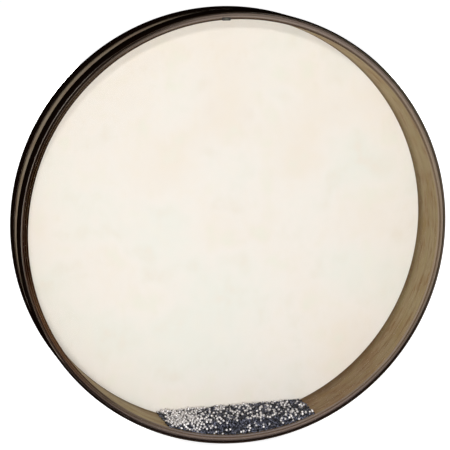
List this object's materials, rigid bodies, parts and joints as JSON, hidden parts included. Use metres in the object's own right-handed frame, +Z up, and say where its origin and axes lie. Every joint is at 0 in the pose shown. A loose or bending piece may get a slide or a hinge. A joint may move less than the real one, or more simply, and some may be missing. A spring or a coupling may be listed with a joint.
{
  "type": "ocean drum",
  "caption": "Shallow frame drum with a bent-ply shell, dark hoops, a clear front head, a cream back head and loose steel beads that roll round the rim inside.",
  "frame": {"origin": "centre of the drum, on its axis, midway between the hoops' faces", "axes": "+Y along the drum's axis towards the skin head, the clear head faces -Y, +Z up with the drum standing on its rim and the beads at the bottom"},
  "size_m": [0.5, 0.076, 0.5],
  "materials": {
    "shell_wood": "satin tan wood",
    "core_wood": "dark brown ply edge",
    "hoop_wood": "near-black lacquer",
    "clear_film": "clear glossy film",
    "skin": "cream, matte, faintly mottled",
    "tab": "dark, satin",
    "dark_steel": "dark gunmetal shot",
    "bright_steel": "polished balls"
  },
  "bodies": {
    "drum": {"outer_ply": "shell_wood", "core_ply": "core_wood", "inner_ply": "shell_wood", "front_hoop": "hoop_wood", "back_hoop": "hoop_wood", "clear_head": "clear_film", "back_head": "skin", "rim_tab": "tab"},
    "bead_charge": {"dark_shot": "dark_steel", "silver_balls": "bright_steel"}
  },
  "joints": [
    {"name": "bead_roll", "type": "hinge", "parent": "drum", "child": "bead_charge", "pos_m": [0, 0, 0], "axis": [0, 1, 0], "continuous": true}
  ]
}
